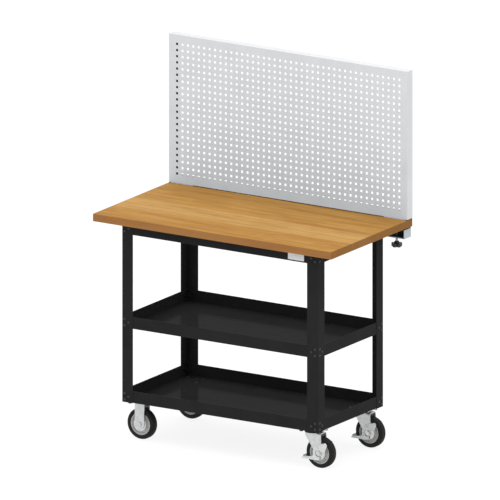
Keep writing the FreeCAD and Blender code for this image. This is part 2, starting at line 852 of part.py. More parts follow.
def swivel_fork():
    """Round crown with two cheeks that rake back to the trailing axle."""
    under_plate, race_foot, bearing_top, crown_top = swivel_levels()
    left = -fork_left_reach
    right = swivel_trail + fork_right_reach
    heel = swivel_trail + fork_heel_reach
    section = fork_section(crown_top, crown_wall, left, max(right, heel))
    shoulder = crown_top - fork_shoulder_drop
    foot = wheel_z - fork_end_drop
    silhouette = [(left, crown_top), (left, shoulder, fork_shoulder_round),
                  (swivel_trail - fork_toe_left, foot + fork_toe_rise, fork_end_drop),
                  (swivel_trail - fork_toe_flat, foot, fork_toe_round),
                  (heel, foot, fork_heel_round), (heel, wheel_z + fork_heel_rise),
                  (right, crown_top)]
    side = prism(silhouette, Y_AXIS, -fork_outside / 2, fork_outside / 2)
    crown = rod(race_radius, Z_AXIS, crown_top - crown_wall, crown_top)
    fork = section.common(side).fuse(crown)
    bore = rod(kingpin_radius + kingpin_clearance, Z_AXIS, crown_top - crown_wall, crown_top)
    fork = fork.cut([bore, moved(axle_hole(), swivel_trail)])
    return fork.fuse(brake_pins()).removeSplitter()


def brake_lever():
    """Yoke of two cheeks outside the fork, joined by a foot plate and a shoe at the tread."""
    inner = fork_outside / 2 + brake_gap
    outer = inner + brake_wall
    low = -pedal_drop
    arm_top = low + brake_arm_height
    tip = -(wheel_radius + pedal_overhang)
    small = brake_round
    wide = brake_wide_round
    cheek = [(tip, low, small), (brake_cheek_right, low, wide),
             (brake_cheek_right, brake_ear_low), (brake_ear_foot, brake_ear_low, small),
             (brake_ear_reach, brake_ear_side, small), (brake_ear_peak, brake_ear_top, small),
             (-brake_neck_left, brake_neck_top, wide), (-brake_foot_left, arm_top, wide),
             (tip, low + pedal_tip_height, small)]
    plate = prism(cheek, Y_AXIS, inner, outer)
    notch = rod(brake_notch_radius, Y_AXIS, inner, outer)
    pin_hole = moved(rod(brake_pin_radius + brake_pin_clearance, Y_AXIS, inner, outer),
                     brake_pin_x, 0, brake_pin_z)
    plate = plate.cut([notch, pin_hole])
    shoe_face = -math.sqrt((wheel_radius + shoe_gap) ** 2 - arm_top ** 2)
    shoe_back = shoe_face - shoe_thickness
    foot_path = [(tip, low), (shoe_back, low), (shoe_back, arm_top)]
    foot = folded(foot_path, brake_wall, brake_wall, Y_AXIS, -outer, outer)
    shoe = block(shoe_back, shoe_face, -shoe_width / 2, shoe_width / 2,
                 arm_top - shoe_height, arm_top)
    lever = foot.fuse([shoe, plate, plate.mirror(Vec(0, 0, 0), Y_AXIS)]).removeSplitter()
    return moved(lever, swivel_trail, 0, wheel_z)


def caster_positions(sx):
    half = caster_spacing / 2
    return (("front", sx * caster_x, frame_y - half), ("back", sx * caster_x, frame_y + half))


def save_wheel(side, x, y, kind):
    for part_name, shape in wheel_parts():
        save(f"{kind}_{part_name}_{side}", moved(shape, x, y, wheel_z))
    save(f"{kind}_axle_{side}", moved(axle_part(), x, y, wheel_z))


def make_casters():
    for side, x, y in caster_positions(-1):
        save(f"fixed_housing_{side}", moved(fixed_housing(), x, y))
        save_wheel(side, x, y, "fixed")
    for side, x, y in caster_positions(1):
        save(f"swivel_top_plate_{side}", moved(swivel_top_plate(), x, y))
        save(f"swivel_bearing_{side}", moved(swivel_bearing(), x, y))
        save(f"swivel_kingpin_{side}", moved(kingpin(), x, y))
        save(f"swivel_fork_{side}", moved(swivel_fork(), x, y))
        save(f"brake_lever_{side}", moved(brake_lever(), x, y))
        save_wheel(side, x + swivel_trail, y, "swivel")


def plate_bolt_places():
    centres = caster_positions(-1) + caster_positions(1)
    return [(x + dx, y + dy) for name, x, y in centres for dx, dy in plate_hole_places()]


def make_plate_bolts():
    """Bolts dropped through the lower tray and the caster plates, nuts underneath."""
    nut_top = caster_height - plate_thickness
    head = frustum(repeat_sides, plate_bolt_head, plate_bolt_crown, plate_bolt_head_height)
    head = moved(head, 0, 0, lower_tray_z + tray_wall)
    shank = prism(regular(repeat_sides, plate_bolt), Z_AXIS,
                  nut_top - plate_nut_height, lower_tray_z + tray_wall)
    bolt = head.fuse(shank).removeSplitter()
    nut = prism(regular(6, plate_nut_flats), Z_AXIS, nut_top - plate_nut_height, nut_top)
    nut = nut.cut(shank)
    save("caster_bolts", *[moved(bolt, x, y) for x, y in plate_bolt_places()])
    save("caster_nuts", *[moved(nut, x, y) for x, y in plate_bolt_places()])


# ---------------------------------------------------------------- whole table
def main():
    os.makedirs("parts", exist_ok=True)
    neck_cutters = neck_holes()
    floor_cutter = rod(plate_bolt / 2 + floor_hole_clearance, Z_AXIS,
                       lower_tray_z, lower_tray_z + tray_wall)
    floor_holes = [moved(floor_cutter, x, y) for x, y in plate_bolt_places()]
    make_worktop()
    make_legs(neck_cutters)
    make_rails(neck_cutters)
    make_tray("tray_middle", middle_tray_z, neck_cutters, [])
    make_tray("tray_bottom", lower_tray_z, neck_cutters, floor_holes)
    make_fastenings()
    make_pegboard()
    make_panel_frame()
    make_uprights()
    make_clamps()
    make_plate_bolts()
    make_casters()


main()
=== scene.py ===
import json
import math

import bpy
import numpy as np
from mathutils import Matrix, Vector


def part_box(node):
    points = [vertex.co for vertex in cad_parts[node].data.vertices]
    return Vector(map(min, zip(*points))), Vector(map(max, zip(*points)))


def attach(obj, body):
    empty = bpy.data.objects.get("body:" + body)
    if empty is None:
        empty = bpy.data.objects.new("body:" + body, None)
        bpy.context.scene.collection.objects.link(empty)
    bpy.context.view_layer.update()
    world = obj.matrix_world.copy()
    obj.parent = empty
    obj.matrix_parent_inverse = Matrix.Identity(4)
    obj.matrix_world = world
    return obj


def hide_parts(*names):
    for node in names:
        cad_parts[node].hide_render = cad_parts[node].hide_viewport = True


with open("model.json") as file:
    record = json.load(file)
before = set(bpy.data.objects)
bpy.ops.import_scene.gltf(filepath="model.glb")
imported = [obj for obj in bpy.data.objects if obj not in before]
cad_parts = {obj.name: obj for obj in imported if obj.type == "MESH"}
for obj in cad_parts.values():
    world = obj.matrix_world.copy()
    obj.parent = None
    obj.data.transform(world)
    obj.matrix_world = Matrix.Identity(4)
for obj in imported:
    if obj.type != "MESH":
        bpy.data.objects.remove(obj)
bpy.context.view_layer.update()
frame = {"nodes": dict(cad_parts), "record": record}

MM = 0.001


# ------------------------------------------------------------------ colour and nodes
def linear(hex_colour):
    """sRGB hex to the linear RGBA that shaders work in."""
    channels = [int(hex_colour[i:i + 2], 16) / 255 for i in (1, 3, 5)]
    return [c / 12.92 if c <= 0.04045 else ((c + 0.055) / 1.055) ** 2.4 for c in channels] + [1.0]


def add(tree, kind, inputs, out=0, **settings):
    """Adds a node and returns one of its outputs. Settings are the node's properties, and
    inputs its values or the sockets that feed it, by name, or by number where the node's
    sockets share a name."""
    made = tree.nodes.new(kind)
    for name, value in settings.items():
        setattr(made, name, value)
    for name, value in inputs.items():
        if isinstance(value, bpy.types.NodeSocket):
            tree.links.new(value, made.inputs[name])
        else:
            made.inputs[name].default_value = value
    return made.outputs[out] if made.outputs else None


def blank(name):
    """A material with an empty node tree."""
    material = bpy.data.materials.new(name)
    material.use_nodes = True
    material.node_tree.nodes.clear()
    return material, material.node_tree


# ------------------------------------------------------------------ the worktop's wood
BOARD_WIDTH = 150 * MM
# tones of the boards from the front, which differ at random; the back board's is darker also as
# painted shade from the panel that stands behind it
BOARD_TONES = ("#B78541", "#C59858", "#B58541", "#AB7D3C")
# share of a board by which the count starts early, so that the front edge is on no joint
EARLY_START = 0.01
BAND_LENGTH = 360 * MM
BAND_WIDTH = 30 * MM
WAVERS_PER_METRE = 3.5
FLECK_LENGTH = 60 * MM
FLECK_WIDTH = 4 * MM
PORE_DEPTH = 0.08 * MM


def lay_boards(tree, place):
    """Tone of the board at a place, and the place in that board's own piece of the log. The
    boards are counted from the front of the worktop, as (y - front) / width."""
    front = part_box("worktop")[0][1]
    row = add(tree, "ShaderNodeMapping", {
        "Vector": place, "Location": (0, EARLY_START - front / BOARD_WIDTH, 0),
        "Scale": (0, 1 / BOARD_WIDTH, 0)})
    count = add(tree, "ShaderNodeSeparateXYZ", {"Vector": row}, "Y")
    part = add(tree, "ShaderNodeMapRange", {"Value": count, "From Max": len(BOARD_TONES)})
    tone = add(tree, "ShaderNodeValToRGB", {"Fac": part})
    ramp = tone.node.color_ramp
    ramp.interpolation = "CONSTANT"
    for number, colour in enumerate(BOARD_TONES):
        start = number / len(BOARD_TONES)
        # a new ramp has two stops already
        stop = ramp.elements[number] if number < 2 else ramp.elements.new(start)
        stop.position = start
        stop.color = linear(colour)
    row = add(tree, "ShaderNodeVectorMath", {0: row}, operation="FLOOR")
    chance = add(tree, "ShaderNodeTexWhiteNoise", {"Vector": row}, "Color", noise_dimensions="3D")
    return tone, add(tree, "ShaderNodeVectorMath", {0: place, 1: chance}, operation="ADD")


def oiled_hardwood():
    """Four wide boards of hardwood glued edge to edge, sanded and oiled: golden brown and
    satin, each of its own tone, the back one darker also as painted shade from the panel, with
    soft bands and fine flecks along X and darker edges and ends; to diffuse rays they are a dark
    neutral grey, as painted shade on the panel behind them."""
    material, tree = blank("oiled_hardwood")
    place = add(tree, "ShaderNodeTexCoord", {}, "Object")
    colour, log = lay_boards(tree, place)
    # soft bands of early and late wood, which waver by up to their own width
    waver = add(tree, "ShaderNodeTexNoise", {
        "Vector": log, "Scale": WAVERS_PER_METRE, "Detail": 1.0}, "Color")
    log = add(tree, "ShaderNodeVectorMath", {0: waver, 1: (0, BAND_WIDTH, 0), 2: log},
              operation="MULTIPLY_ADD")
    along = add(tree, "ShaderNodeMapping", {
        "Vector": log, "Scale": (1 / BAND_LENGTH, 1 / BAND_WIDTH, 1 / BAND_WIDTH)})
    figure = add(tree, "ShaderNodeTexNoise", {
        "Vector": along, "Scale": 1.0, "Detail": 4.0, "Roughness": 0.66})
    late = add(tree, "ShaderNodeMapRange", {
        "Value": figure, "From Min": 0.42, "From Max": 0.72, "To Max": 0.36})
    early = add(tree, "ShaderNodeMapRange", {
        "Value": figure, "From Min": 0.58, "From Max": 0.28, "To Max": 0.3})
    # flecks of open grain
    fibres = add(tree, "ShaderNodeMapping", {
        "Vector": log, "Scale": (1 / FLECK_LENGTH, 1 / FLECK_WIDTH, 1 / FLECK_WIDTH)})
    pores = add(tree, "ShaderNodeTexNoise", {
        "Vector": fibres, "Scale": 1.0, "Detail": 2.0, "Roughness": 0.65})
    fleck = add(tree, "ShaderNodeMapRange", {
        "Value": pores, "From Min": 0.53, "From Max": 0.76, "To Max": 0.5})
    # the faces that look along Y, the long edges, are darker than the top, and those along X, the
    # ends, most of all
    normal = add(tree, "ShaderNodeNewGeometry", {}, "Normal")
    normal = add(tree, "ShaderNodeVectorMath", {0: normal}, operation="ABSOLUTE")
    facing = add(tree, "ShaderNodeSeparateXYZ", {"Vector": normal}).node.outputs
    side = add(tree, "ShaderNodeMapRange", {
        "Value": facing["Y"], "From Min": 0.2, "From Max": 0.9, "To Max": 0.7})
    end = add(tree, "ShaderNodeMapRange", {
        "Value": facing["X"], "From Min": 0.2, "From Max": 0.9, "To Max": 0.8})
    # painted shade: to diffuse rays the boards are a dark neutral grey, so what they throw back
    # on the panel behind them is kept low and neutral
    bounce = add(tree, "ShaderNodeLightPath", {}, "Is Diffuse Ray")
    for share, tone in ((late, "#8E5A26"), (early, "#E0B56C"), (fleck, "#8A5A2B"),
                        (side, "#9D6C45"), (end, "#8C6036"), (bounce, "#6A6E74")):
        colour = add(tree, "ShaderNodeMix", {"Factor": share, "A": colour, "B": linear(tone)},
                     "Result", data_type="RGBA")
    rough = add(tree, "ShaderNodeMapRange", {
        "Value": pores, "From Min": 0.3, "From Max": 0.8, "To Min": 0.46, "To Max": 0.6})
    relief = add(tree, "ShaderNodeBump", {
        "Height": pores, "Distance": PORE_DEPTH, "Strength": 0.5})
    shader = add(tree, "ShaderNodeBsdfPrincipled", {
        "Base Color": colour, "Roughness": rough, "Normal": relief, "Specular IOR Level": 0.03})
    add(tree, "ShaderNodeOutputMaterial", {"Surface": shader})
    return material


# ------------------------------------------------------------------ the other materials
ROUGHNESS_SWING = 0.12
# finishes of single pieces in place of their slots', by node name without its side; those of the
# uprights and brackets carry painted shade, those of the nut channels and brake levers painted
# light
SPECIAL_FINISH = {"panel_upright": "upright_black_painted_shade", "clamp_nut_channel": "channel_slate_painted_light",
                  "clamp_bracket": "bracket_coat_painted_shade", "brake_lever": "lever_zinc_painted_light"}


def coated(name, light, dark, cloud, grain, roughness, depth, stretch=(1, 1, 1), **constants):
    """A finish of two tones that drift over the cloud size, with a grain that is drawn out by
    stretch, swings the roughness a little either way and stands up by the depth. Constants
    are the shader's other inputs, with _ for the spaces in their names."""
    material, tree = blank(name)
    place = add(tree, "ShaderNodeTexCoord", {}, "Object")
    drift = add(tree, "ShaderNodeTexNoise", {"Vector": place, "Scale": 1 / cloud, "Detail": 3.0})
    drift = add(tree, "ShaderNodeMapRange", {"Value": drift, "From Min": 0.35, "From Max": 0.7})
    colour = add(tree, "ShaderNodeMix", {"Factor": drift, "A": linear(light), "B": linear(dark)},
                 "Result", data_type="RGBA")
    lines = add(tree, "ShaderNodeMapping", {
        "Vector": place, "Scale": [1 / (grain * s) for s in stretch]})
    fine = add(tree, "ShaderNodeTexNoise", {"Vector": lines, "Scale": 1.0, "Detail": 1.5})
    rough = add(tree, "ShaderNodeMapRange", {
        "Value": fine, "From Min": 0.3, "From Max": 0.7,
        "To Min": roughness * (1 - ROUGHNESS_SWING), "To Max": roughness * (1 + ROUGHNESS_SWING)})
    relief = add(tree, "ShaderNodeBump", {"Height": fine, "Distance": depth, "Strength": 0.5})
    sockets = {socket.replace("_", " "): value for socket, value in constants.items()}
    shader = add(tree, "ShaderNodeBsdfPrincipled", {
        "Base Color": colour, "Roughness": rough, "Normal": relief, **sockets})
    add(tree, "ShaderNodeOutputMaterial", {"Surface": shader})
    return material


def table_materials():
    """One material for each slot of the record, and the finishes of single pieces."""
    return {
        "oiled_hardwood": oiled_hardwood(),
        # black powder coat baked on sheet steel: even and nearly without gloss, a little paler
        # at a low angle, with the low orange peel of the powder's flow-out
        "black_powder_coat": coated(
            "black_powder_coat", "#2D2D2E", "#29292A", cloud=90 * MM, grain=2.4 * MM,
            roughness=0.12, depth=0.02 * MM, Specular_IOR_Level=0.0014, Sheen_Weight=0.045,
            Sheen_Roughness=0.5),
        # phosphated steel tube, hidden in the panel: dry and dead matt, its near black deepened
        # below the other blacks as painted shade seen through the panel's holes
        "upright_black_painted_shade": coated(
            "phosphated_tube_painted_shade", "#0C0C0D", "#131313", cloud=25 * MM, grain=2 * MM,
            roughness=0.8, depth=0.02 * MM, Specular_IOR_Level=0.05),
        # phosphated channel in the clamp's arm: dry, and lifted from black to slate grey as
        # painted light inside the arm, where shade falls
        "channel_slate_painted_light": coated(
            "phosphated_channel_painted_light", "#4C565D", "#3C444A", cloud=12 * MM, grain=1.5 * MM,
            roughness=0.6, depth=0.02 * MM, Specular_IOR_Level=0.1),
        # the panel's light grey powder coat on the clamp brackets, made a shade darker and bluer
        # than the panel's as painted shade
        "bracket_coat_painted_shade": coated(
            "bracket_powder_painted_shade", "#C4CBD2", "#BBC2CA", cloud=60 * MM, grain=2.4 * MM,
            roughness=0.4, depth=0.03 * MM),
        # light grey powder coat: the same peel under a satin face
        "grey_powder_coat": coated(
            "grey_powder_coat", "#E2E4E5", "#DCDEE0", cloud=90 * MM, grain=2.4 * MM,
            roughness=0.4, depth=0.03 * MM),
        # hot-blackened steel bolts: near black with a dry sheen, rubbed paler on the high spots
        "black_fasteners": coated(
            "black_oxide_steel", "#2E2E2F", "#48484A", cloud=3 * MM, grain=1.2 * MM,
            roughness=0.42, depth=0.03 * MM, Metallic=0.6),
        # moulded black rubber: matt and finely grained, with a grey bloom
        "rubber": coated(
            "moulded_rubber", "#151515", "#21211F", cloud=22 * MM, grain=1.2 * MM,
            roughness=0.7, depth=0.1 * MM, Specular_IOR_Level=0.25),
        # injection-moulded nylon: pale neutral grey, a soft sheen over a spark-eroded grain
        "grey_nylon": coated(
            "moulded_nylon", "#CCCDCA", "#BEBFBC", cloud=25 * MM, grain=0.9 * MM,
            roughness=0.48, depth=0.05 * MM),
        # compression-moulded phenolic: black and polished, with faint flow marks
        "black_phenolic": coated(
            "black_phenolic", "#161617", "#262627", cloud=6 * MM, grain=2 * MM,
            roughness=0.24, depth=0.02 * MM),
        # pressed steel with bright zinc: pale grey, slightly clouded, with upright rolling marks
        "zinc_plate": coated(
            "zinc_plate", "#D8D9D9", "#C8CACB", cloud=14 * MM, grain=0.8 * MM,
            roughness=0.45, depth=0.02 * MM, stretch=(1, 1, 25), Metallic=0.9),
        # the brake levers' zinc: whiter and less mirror-like than the forks', as painted light on
        # pedal tops that sit in the tray's shade
        "lever_zinc_painted_light": coated(
            "lever_zinc_painted_light", "#E9EBEA", "#DDDFDF", cloud=10 * MM, grain=0.8 * MM,
            roughness=0.5, depth=0.03 * MM, Metallic=0.3),
        # turned steel with bright zinc: brighter, with the fine tool marks of the lathe
        "machined_steel": coated(
            "turned_steel", "#D6D7D7", "#C3C5C6", cloud=9 * MM, grain=0.9 * MM,
            roughness=0.3, depth=0.02 * MM, Metallic=1.0),
        # fired enamel on a thin plate: white, even and smooth
        "white_enamel": coated(
            "white_enamel", "#F1F1EF", "#E6E7E6", cloud=30 * MM, grain=1.5 * MM,
            roughness=0.3, depth=0.01 * MM),
        # black rubber of the dust seals, and the black strip under the panel, which is painted
        # shade in the gap there: matt, slightly dusty
        "seal_rubber_and_gap_shade": coated(
            "seal_rubber_and_gap_shade", "#1A1A1A", "#262625", cloud=6 * MM, grain=0.8 * MM,
            roughness=0.65, depth=0.05 * MM, Specular_IOR_Level=0.25)}


def paint(materials):
    """Gives every node of the frame the material of its slot in the record, or its own."""
    for part in frame["record"]["subparts"]:
        family = part["node"].rpartition("_")[0]
        mesh = frame["nodes"][part["node"]].data
        mesh.materials.clear()
        mesh.materials.append(materials[SPECIAL_FINISH.get(family, part["material_slot"])])


# ------------------------------------------------------------------ shapes worked out in numpy
# steps of a round that is drawn through a quarter of a turn
QUARTER_STEPS = 4
# how far in from both faces the middle of a rounded edge lies, as a share of its radius
EDGE_MIDDLE = 0.3
SHARP_ANGLE = math.radians(35)


def bands(rows, count, closed=False):
    """Four-sided faces between neighbouring rows of count points, each row a closed loop, and
    from the last row back to the first where closed."""
    here = np.arange(count)
    ahead = (here + 1) % count
    row = np.arange(rows if closed else rows - 1)[:, None] * count
    above = (row + count) % (rows * count)
    quads = np.stack([row + here, row + ahead, above + ahead, above + here], -1)
    return quads.reshape(-1, 4).tolist()


def spun(profile, sides):
    """Points of a profile of (height, radius) carried round Z: radius times the cosine and the
    sine of equal steps of angle, at the profile's height."""
    angle = np.arange(sides) * 2 * np.pi / sides
    flat = profile[:, 1:, None] * np.stack([np.cos(angle), np.sin(angle)], -1)
    return np.dstack([flat, np.repeat(profile[:, :1], sides, 1)]).reshape(-1, 3)


def turned(profile, sides):
    """Closed surface of revolution about Z from a profile of (height, radius) that starts and
    ends on the axis, where a fan of triangles closes it."""
    profile = np.array(profile, float)
    points = spun(profile[1:-1], sides)
    poles = np.array([[0, 0, profile[0, 0]], [0, 0, profile[-1, 0]]])
    here = np.arange(sides)
    ahead = (here + 1) % sides
    last = len(points) - sides
    foot = np.stack([ahead, here, np.full(sides, len(points))], -1)
    top = np.stack([last + here, last + ahead, np.full(sides, len(points) + 1)], -1)
    faces = bands(len(profile) - 2, sides) + foot.tolist() + top.tolist()
    return np.vstack([points, poles]), faces


def hoop(profile, sides):
    """Ring about Z from a closed profile that runs up its outside and down its inside."""
    profile = np.array(profile, float)
    return spun(profile, sides), bands(len(profile), sides, closed=True)


def rounded_plate(width, height, thickness, corner, edge):
    """Plate in XY: an outline of four quarter circles of the corner radius, carried through the
    levels (inset, height) of the rounded edge; the face is one polygon."""
    quarter = np.linspace(0, np.pi / 2, QUARTER_STEPS + 1)
    angle = (quarter + np.arange(4)[:, None] * np.pi / 2).ravel()
    sign = np.repeat([(1, 1), (-1, 1), (-1, -1), (1, -1)], len(quarter), axis=0)
    centre = sign * (np.array([width, height]) / 2 - corner)
    spoke = np.stack([np.cos(angle), np.sin(angle)], -1)
    levels = np.array([(0, 0), (0, thickness - edge),
                       (EDGE_MIDDLE * edge, thickness - EDGE_MIDDLE * edge), (edge, thickness)])
    flat = centre + spoke * (corner - levels[:, :1, None])
    points = np.dstack([flat, np.repeat(levels[:, 1:], len(angle), 1)]).reshape(-1, 3)
    foot = np.arange(len(angle))
    top = foot + len(angle) * (len(levels) - 1)
    return points, bands(len(levels), len(angle)) + [foot[::-1].tolist(), top.tolist()]


def repeated(shape, places, outward):
    """Copies of a shape, each set at a place with its Z turned to an outward direction, which
    is along X, Y or Z."""
    points, faces = shape
    out = np.array(outward, float)
    side = np.roll(np.abs(out), 1, axis=1)
    turns = np.stack([side, np.cross(out, side), out], -1)
    copies = np.einsum("kij,nj->kni", turns, points) + np.array(places)[:, None]
    step = len(points)
    all_faces = [[i + step * k for i in face] for k in range(len(out)) for face in faces]
    return copies.reshape(-1, 3), all_faces


def upright_axis(node):
    """Where the upright axis through a node's box stands, and the heights of its two ends."""
    low, high = np.array(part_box(node))
    x, y = (low[:2] + high[:2]) / 2
    return x, y, low[2], high[2]


def make_piece(name, shape, material, body, slot, *instead_of):
    """Adds a piece, smooth but for its edges, riding on a body in place of CAD nodes."""
    mesh = bpy.data.meshes.new(name)
    mesh.from_pydata(shape[0].tolist(), [], shape[1])
    mesh.shade_smooth()
    mesh.set_sharp_from_angle(angle=SHARP_ANGLE)
    mesh.materials.append(material)
    piece = bpy.data.objects.new(name, mesh)
    bpy.context.scene.collection.objects.link(piece)
    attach(piece, body)
    if instead_of:
        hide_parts(*instead_of)


# ------------------------------------------------------------------ fasteners
# on each flange: in from the leg's corner, and up from the middle of the tray or rail
LEG_BOLT_PLACES = ((13 * MM, 12.5 * MM), (13 * MM, -12.5 * MM), (31 * MM, 0.0))
CASTER_SPACING = (76 * MM, 60 * MM)
PANEL_BOLT_SPACING = 40 * MM
TRAY_SHEET = 1.5 * MM
PANEL_SHEET = 1.2 * MM
LEG_AND_LIP = 3.5 * MM
LEG_NUT = 4 * MM
# share of a button head's height that stands as an upright rim under its crown
RIM_SHARE = 0.25
LEG_BUTTON = {"head": 5.5 * MM, "height": 2.6 * MM, "shank": 2.5 * MM,
              "reach": LEG_AND_LIP + LEG_NUT, "sides": 14}
CASTER_BUTTON = {"head": 8 * MM, "height": 3 * MM, "shank": 4 * MM, "reach": 12 * MM, "sides": 20}
PANEL_BUTTON = {"head": 5.5 * MM, "height": 3 * MM, "shank": 3 * MM, "reach": 4.2 * MM,
                "sides": 16}


def button(head, height, shank, reach, sides):
    """Button-headed bolt on Z, its seat at nought, with a plain shank below. Over a low rim the
    crown is a quarter of an ellipse in section: the rest of the height times the sine, and the
    head's radius times the cosine. Head and shank are radii."""
    rise = np.linspace(0, np.pi / 2, QUARTER_STEPS + 1)[1:]
    crown = np.stack([height * (RIM_SHARE + (1 - RIM_SHARE) * np.sin(rise)),
                      head * np.cos(rise)], -1)
    crown[-1, 1] = 0.0
    start = [(-reach, 0), (-reach, shank), (0, shank), (0, head), (height * RIM_SHARE, head)]
    return turned(np.vstack([start, crown]), sides)


def leg_bolt_places():
    """Seat and outward direction of every bolt in the legs, on the legs' outer faces."""
    low = np.array(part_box("leg_front_left")[0])
    high = np.array(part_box("leg_back_right")[1])
    middle = (low + high) / 2
    half = (high - low) / 2
    places = []
    outward = []
    for node in ("tray_bottom", "tray_middle", "rail_front"):
        level = np.mean(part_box(node), axis=0)[2]
        for inset, rise in LEG_BOLT_PLACES:
            for sx in (-1, 1):
                for sy in (-1, 1):
                    places.append((middle[0] + sx * (half[0] - inset), middle[1] + sy * half[1],
                                   level + rise))
                    outward.append((0, sy, 0))
                    places.append((middle[0] + sx * half[0], middle[1] + sy * (half[1] - inset),
                                   level + rise))
                    outward.append((sx, 0, 0))
    return places, outward


def caster_bolt_places():
    """Seat of the four bolts over every caster plate, on the lower tray's floor."""
    places = []
    for node in ("fixed_housing_front", "fixed_housing_back",
                 "swivel_top_plate_front", "swivel_top_plate_back"):
        x, y, _, top = upright_axis(node)
        for sx in (-0.5, 0.5):
            for sy in (-0.5, 0.5):
                places.append((x + sx * CASTER_SPACING[0], y + sy * CASTER_SPACING[1],
                               top + TRAY_SHEET))
    return places, [(0, 0, 1)] * len(places)


def panel_bolt_places():
    """Seat of the two bolts over each clamp bracket, on the panel's lower wall."""
    panel = np.array(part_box("pegboard_frame"))
    sheet = np.array(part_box("pegboard_face"))
    y = (sheet[0, 1] + panel[1, 1]) / 2
    places = []
    for side in ("left", "right"):
        x = np.mean(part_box(f"clamp_bracket_{side}"), axis=0)[0]
        for sx in (-0.5, 0.5):
            places.append((x + sx * PANEL_BOLT_SPACING, y, panel[0, 2] + PANEL_SHEET))
    return places, [(0, 0, 1)] * len(places)


def make_fasteners(material):
    """Bolts with round heads in place of the CAD's eight-sided ones."""
    for name, replaced, sizes, places in (
            ("leg_bolts", "frame_bolts", LEG_BUTTON, leg_bolt_places()),
            ("tray_bolts", "caster_bolts", CASTER_BUTTON, caster_bolt_places()),
            ("panel_foot_bolts", "panel_bolts", PANEL_BUTTON, panel_bolt_places())):
        make_piece(name, repeated(button(**sizes), *places), material, "root",
                   "black_fasteners", replaced)


# ------------------------------------------------------------------ bare plate on the front rail
LABEL_LEFT = 313 * MM
LABEL_WIDTH = 74 * MM
LABEL_FOOT = 6 * MM
LABEL_HEIGHT = 32 * MM
LABEL_THICKNESS = 0.6 * MM
LABEL_CORNER = 2.5 * MM
LABEL_EDGE = 0.2 * MM


def make_label(material):
    """A plain plate on the face of the front rail, turned upright with its face forwards."""
    rail = np.array(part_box("rail_front"))
    points, faces = rounded_plate(LABEL_WIDTH, LABEL_HEIGHT, LABEL_THICKNESS, LABEL_CORNER,
                                  LABEL_EDGE)
    place = (LABEL_LEFT + LABEL_WIDTH / 2, rail[0, 1],
             rail[0, 2] + LABEL_FOOT + LABEL_HEIGHT / 2)
    laid = np.stack([points[:, 0], -points[:, 2], points[:, 1]], -1) + place
    make_piece("rail_label", (laid, faces), material, "root", "grey_powder_coat")


# ------------------------------------------------------------------ clamp screws
SCREW_RADIUS = 5 * MM
TIP_RADIUS = 3 * MM
TIP_LENGTH = 3 * MM
THREAD_PITCH = 1.5 * MM
THREAD_DEPTH = 0.7 * MM
THREAD_SIDES = 24
ROWS_PER_PITCH = 6
# the wave of the thread is steepened and lowered, then cut off flat at the crests and roots
THREAD_SLOPE = 1.6
THREAD_DROP = 0.3
RUN_OUT = THREAD_PITCH * 0.6


def threaded_rod(foot, top, radius, tip_radius, tip_length):
    """Rod on Z with a screw thread that eases in over its first pitch: at height z and angle a
    its radius is less by the depth times a triangle wave of (z / pitch - a / turn), cut off at
    nought and one. Its ends are flat and its tip is plain."""
    rows = np.arange(foot, top - tip_length - THREAD_PITCH, THREAD_PITCH / ROWS_PER_PITCH)
    angle = np.arange(THREAD_SIDES) * 2 * np.pi / THREAD_SIDES
    phase = (rows[:, None] / THREAD_PITCH - angle / (2 * np.pi)) % 1.0
    wave = np.abs(2 * phase - 1)
    ease = np.clip((rows - foot) / THREAD_PITCH, 0, 1)[:, None]
    cut = radius - THREAD_DEPTH * np.clip(THREAD_SLOPE * wave - THREAD_DROP, 0, 1) * ease
    plain = np.array([(top - tip_length - RUN_OUT, radius - THREAD_DEPTH),
                      (top - tip_length, radius - THREAD_DEPTH),
                      (top - tip_length, tip_radius), (top, tip_radius)])
    heights = np.concatenate([rows, plain[:, 0]])
    radii = np.vstack([cut, np.repeat(plain[:, 1:], THREAD_SIDES, 1)])
    profile = np.stack([heights, np.ones_like(heights)], -1)
    points, faces = turned(np.vstack([[(foot, 0)], profile, [(top, 0)]]), THREAD_SIDES)
    points[:-2, :2] *= radii.reshape(-1, 1)
    return points, faces


def make_clamp_screws(material):
    """Threaded rods in place of the CAD's plain clamp screws."""
    for side in ("left", "right"):
        x, y, foot, top = upright_axis(f"clamp_screw_{side}")
        points, faces = threaded_rod(foot, top, SCREW_RADIUS, TIP_RADIUS, TIP_LENGTH)
        make_piece(f"clamp_thread_{side}", (points + [x, y, 0], faces), material,
                   f"clamp_screw_{side}", "machined_steel", f"clamp_screw_{side}")


# ------------------------------------------------------------------ dust seals of the swivels
SEAL_FOOT = 0.3 * MM
SEAL_STEP = 4.8 * MM
SEAL_TOP = 8.4 * MM
SEAL_BORE = 32.6 * MM
SEAL_LIP = 34.3 * MM
SEAL_OUTSIDE = 35.2 * MM
SEAL_SIDES = 64


def make_seals(material):
    """A rubber ring round each ball race, its lip turned up outside the upper race."""
    ring, faces = hoop([(SEAL_FOOT, SEAL_BORE), (SEAL_FOOT, SEAL_OUTSIDE),
                        (SEAL_TOP, SEAL_OUTSIDE), (SEAL_TOP, SEAL_LIP),
                        (SEAL_STEP, SEAL_LIP), (SEAL_STEP, SEAL_BORE)], SEAL_SIDES)
    for side in ("front", "back"):
        x, y, foot, _ = upright_axis(f"swivel_bearing_{side}")
        make_piece(f"dust_seal_{side}", (ring + [x, y, foot], faces), material,
                   f"swivel_head_{side}", "rubber")


# ------------------------------------------------------------------ black strip under the panel, as painted shade in the gap
SHADE_STRIP_FRONT = 0.1 * MM
SHADE_STRIP_BACK = 3 * MM
SHADE_STRIP_GAP = 0.5 * MM
SHADE_STRIP_CORNER = 1 * MM
SHADE_STRIP_EDGE = 0.2 * MM


